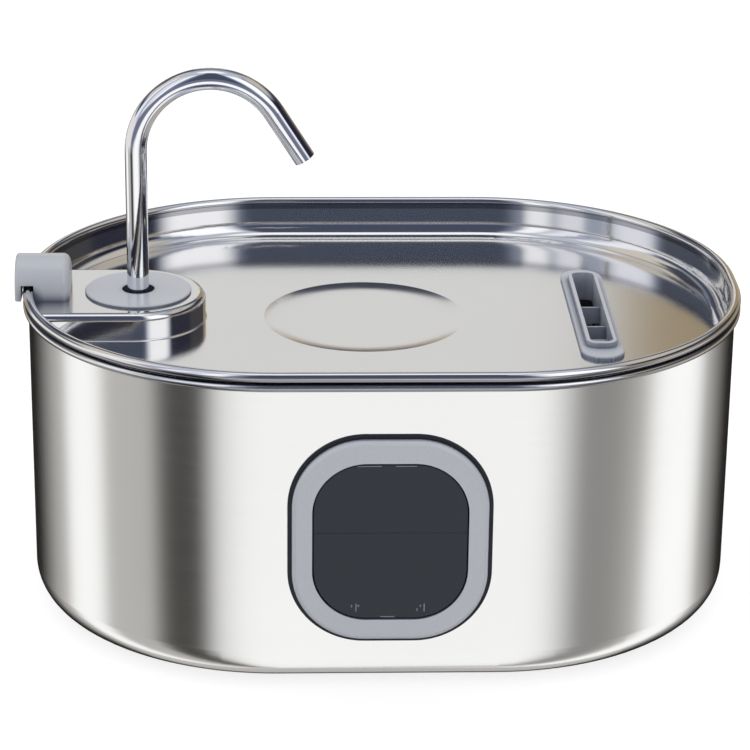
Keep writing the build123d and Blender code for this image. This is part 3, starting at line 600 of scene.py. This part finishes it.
def open_sponge():
    material, tree, shader = new_finish("open_cell_sponge_black", "18191b", 0.95)
    where = add_node(tree, "ShaderNodeTexCoord").outputs["Object"]
    wide = add_node(tree, "ShaderNodeMapping", {"Vector": where}, {"Scale": scales(SPONGE_CELL)})
    cells = add_node(tree, "ShaderNodeTexVoronoi", {"Vector": wide.outputs[0]}, {"Scale": 1})
    # The cells' hollows are darker than their walls: painted shade in the pores.
    tint = add_node(
        tree, "ShaderNodeMix", {"Factor": cells.outputs["Distance"]},
        {"A": colour("0c0d0f"), "B": colour("34363a")}, data_type="RGBA")
    tree.links.new(tint.outputs["Result"], shader.inputs["Base Color"])
    relief = add_node(
        tree, "ShaderNodeBump", {"Height": cells.outputs["Distance"]},
        {"Distance": SPONGE_CELL_DEPTH * MM})
    tree.links.new(relief.outputs[0], shader.inputs["Normal"])
    return material


def fibre_pad():
    material, tree, shader = new_finish("needled_fibre_with_carbon", "6c6f70", 0.95)
    where = add_node(tree, "ShaderNodeTexCoord").outputs["Object"]
    drawn = scales(FIBRE_LENGTH, FIBRE_WIDTH, FIBRE_WIDTH)
    long = add_node(tree, "ShaderNodeMapping", {"Vector": where}, {"Scale": drawn})
    fibres = add_node(
        tree, "ShaderNodeTexNoise", {"Vector": long.outputs[0]}, {"Scale": 1, "Detail": 4})
    wide = add_node(tree, "ShaderNodeMapping", {"Vector": where}, {"Scale": scales(CARBON_GRAIN)})
    carbon = add_node(tree, "ShaderNodeTexVoronoi", {"Vector": wide.outputs[0]}, {"Scale": 1})
    specks = add_node(
        tree, "ShaderNodeMapRange", {0: carbon.outputs["Distance"]},
        {1: CARBON_EDGE, 2: CARBON_CLEAR})
    tint = add_node(
        tree, "ShaderNodeMix", {"Factor": specks.outputs[0]},
        {"A": colour("26282a"), "B": colour("6c6f70")}, data_type="RGBA")
    tree.links.new(tint.outputs["Result"], shader.inputs["Base Color"])
    relief = add_node(
        tree, "ShaderNodeBump", {"Height": fibres.outputs[0]}, {"Distance": FIBRE_DEPTH * MM})
    tree.links.new(relief.outputs[0], shader.inputs["Normal"])
    return material


def ground_ceramic():
    material, tree, shader = new_finish("alumina_ceramic_ground", "efeeea", 0.25)
    where = add_node(tree, "ShaderNodeTexCoord").outputs["Object"]
    ground = scales(GRINDING_STRETCH, GRINDING_RING, GRINDING_STRETCH)
    around = add_node(tree, "ShaderNodeMapping", {"Vector": where}, {"Scale": ground})
    rings = add_node(tree, "ShaderNodeTexNoise", {"Vector": around.outputs[0]}, {"Scale": 1})
    rough = add_node(
        tree, "ShaderNodeMapRange", {0: rings.outputs[0]},
        {1: NOISE_LOW, 2: NOISE_HIGH, 3: GRINDING_SHARPEST, 4: GRINDING_DULLEST})
    tree.links.new(rough.outputs[0], shader.inputs["Roughness"])
    relief = add_node(
        tree, "ShaderNodeBump", {"Height": rings.outputs[0]}, {"Distance": GRINDING_DEPTH * MM})
    tree.links.new(relief.outputs[0], shader.inputs["Normal"])
    return material


# %% [markdown]
# ## Put the finishes on the pieces
# One table says which finish each piece has. Pieces of one material share it.

# %% Put the finishes on the pieces
satin = satin_steel()
buffed = buffed_steel()
chrome = chrome_plate()
screws = screw_steel()
# The corner colours and reaches are painted shade in each piece's corners, widest in the drain
# insert's slot.
trim = moulded(
    "abs_moulded_pale_grey", "c3c6cd", "bdc0c8", 0.24, corner="4a5064", reach=4.5)
insert_trim = moulded(
    "abs_moulded_pale_grey_deep_painted_shade", "c3c6cd", "bdc0c8", 0.24, corner="6a7389", reach=9.0)
bezel_trim = moulded("abs_moulded_light_grey", "cfd1d8", "caccd4", 0.26, corner="5a6072")
# The marks' mid grey is a painted highlight for the glints on their edges.
painted_glint_trim = moulded("abs_moulded_mid_grey_painted_glint", "868b96", "7c818c", 0.2)
housing = moulded("abs_moulded_charcoal", "26282c", "2d2f34", 0.45, grain=0.5, depth=0.008)
white = moulded("polypropylene_moulded_white", "e6e6e2", "dedfda", 0.4, depth=0.004)
magnet = moulded("ferrite_pressed_and_ground", "1d1d1f", "26262a", 0.35, grain=0.8, depth=0.01)
smoke = smoked_acrylic()
seal = silicone("silicone_moulded_ink_blue", "1b2029", "20252f")
foot = silicone("silicone_moulded_grey", "9a9b9f", "8e8f93")
milky = silicone("silicone_extruded_milky", "dcdcd6", "d2d3cc", clear=0.45)
sponge = open_sponge()
fibre = fibre_pad()
ceramic = ground_ceramic()

FINISHES = {
    "tank": satin, "tray": buffed, "spout_tube": chrome, "window_screws": screws,
    "window_bezel": bezel_trim, "rim_clip": trim, "spout_flange": trim, "spout_nut": trim,
    "drain_insert": insert_trim, "filter_basket": housing, "window_pane": smoke,
    "bezel_gasket": seal, "pane_gasket": seal, "cable_grommet": seal, "spout_bush": seal,
    "nut_washer": seal, "shaft_bushes": seal, "cable_gland": seal, "base_pad": foot,
    "outlet_hose": milky, "suction_cups": milky, "filter_pad": fibre, "intake_sponge": sponge,
    "window_frame": housing, "spout_stop_ring": housing, "pump_body": housing,
    "volute_cover": housing, "pump_cover": housing, "impeller": white, "flow_slider": white,
    "impeller_shaft": ceramic, "rotor_magnet": magnet,
}
for name, node in nodes.items():
    node.data.materials.clear()
    node.data.materials.append(FINISHES[name])
print("nodes with a finish:", len(nodes), "finishes:", len(set(FINISHES.values())))

# %% [markdown]
# ## Marks on the window
# The pane is held by small moulded hooks near its lower edge, by a short rib below them and by
# two short ribs under its upper edge. They stand a few tenths of a millimetre proud. Their mid
# grey, much lighter than the pane, is a painted highlight for the glints where their rounded edges
# catch the light. Each is a block whose edges the bevel operator rounds, sunk a little way into
# the pane, and all of them are one piece, as they are moulded.

# %% Marks on the window
PANE_FRONT = -109.1
MARK_SINK = 0.1
MARK_EDGE_STEPS = 3
WINDOW_MARKS = [
    # left, right, low, high, how far it stands proud, radius of its edges
    (-12.9, -3.6, 95.35, 95.75, 0.3, 0.14),    # rib, upper left
    (1.6, 9.7, 95.35, 95.75, 0.3, 0.14),       # rib, upper right
    (-3.6, 1.9, 32.5, 32.9, 0.3, 0.14),        # rib, bottom middle
    (-14.9, -14.4, 36.6, 37.9, 0.45, 0.2),     # hook, lower left
    (-13.2, -12.7, 34.9, 38.3, 0.5, 0.2),
    (-12.5, -11.6, 37.0, 37.8, 0.4, 0.2),
    (10.3, 10.8, 35.0, 36.2, 0.45, 0.2),       # hook, lower right
    (11.6, 12.2, 36.7, 37.7, 0.45, 0.2),
    (13.0, 13.6, 34.9, 38.2, 0.5, 0.2),
]

marks = bmesh.new()
for left, right_side, low, high, proud, radius in WINDOW_MARKS:
    block = bmesh.ops.create_cube(marks, size=1)["verts"]
    size = mm(right_side - left, proud + MARK_SINK, high - low)
    bmesh.ops.scale(marks, vec=size, verts=block)
    middle = mm((left + right_side) / 2, PANE_FRONT - (proud - MARK_SINK) / 2, (low + high) / 2)
    bmesh.ops.translate(marks, vec=middle, verts=block)
    edges = list({edge for vert in block for edge in vert.link_edges})
    bmesh.ops.bevel(
        marks, geom=edges, offset=radius * MM, segments=MARK_EDGE_STEPS, profile=0.5,
        affect="EDGES", material=-1)
for face in marks.faces:
    face.smooth = True
marks_mesh = bpy.data.meshes.new("window_marks")
marks.to_mesh(marks_mesh)
marks.free()
window_marks = bpy.data.objects.new("window_marks", marks_mesh)
bpy.context.scene.collection.objects.link(window_marks)
marks_mesh.materials.append(painted_glint_trim)
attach(window_marks, "base")
print("window marks:", len(WINDOW_MARKS), "faces:", len(marks_mesh.polygons))
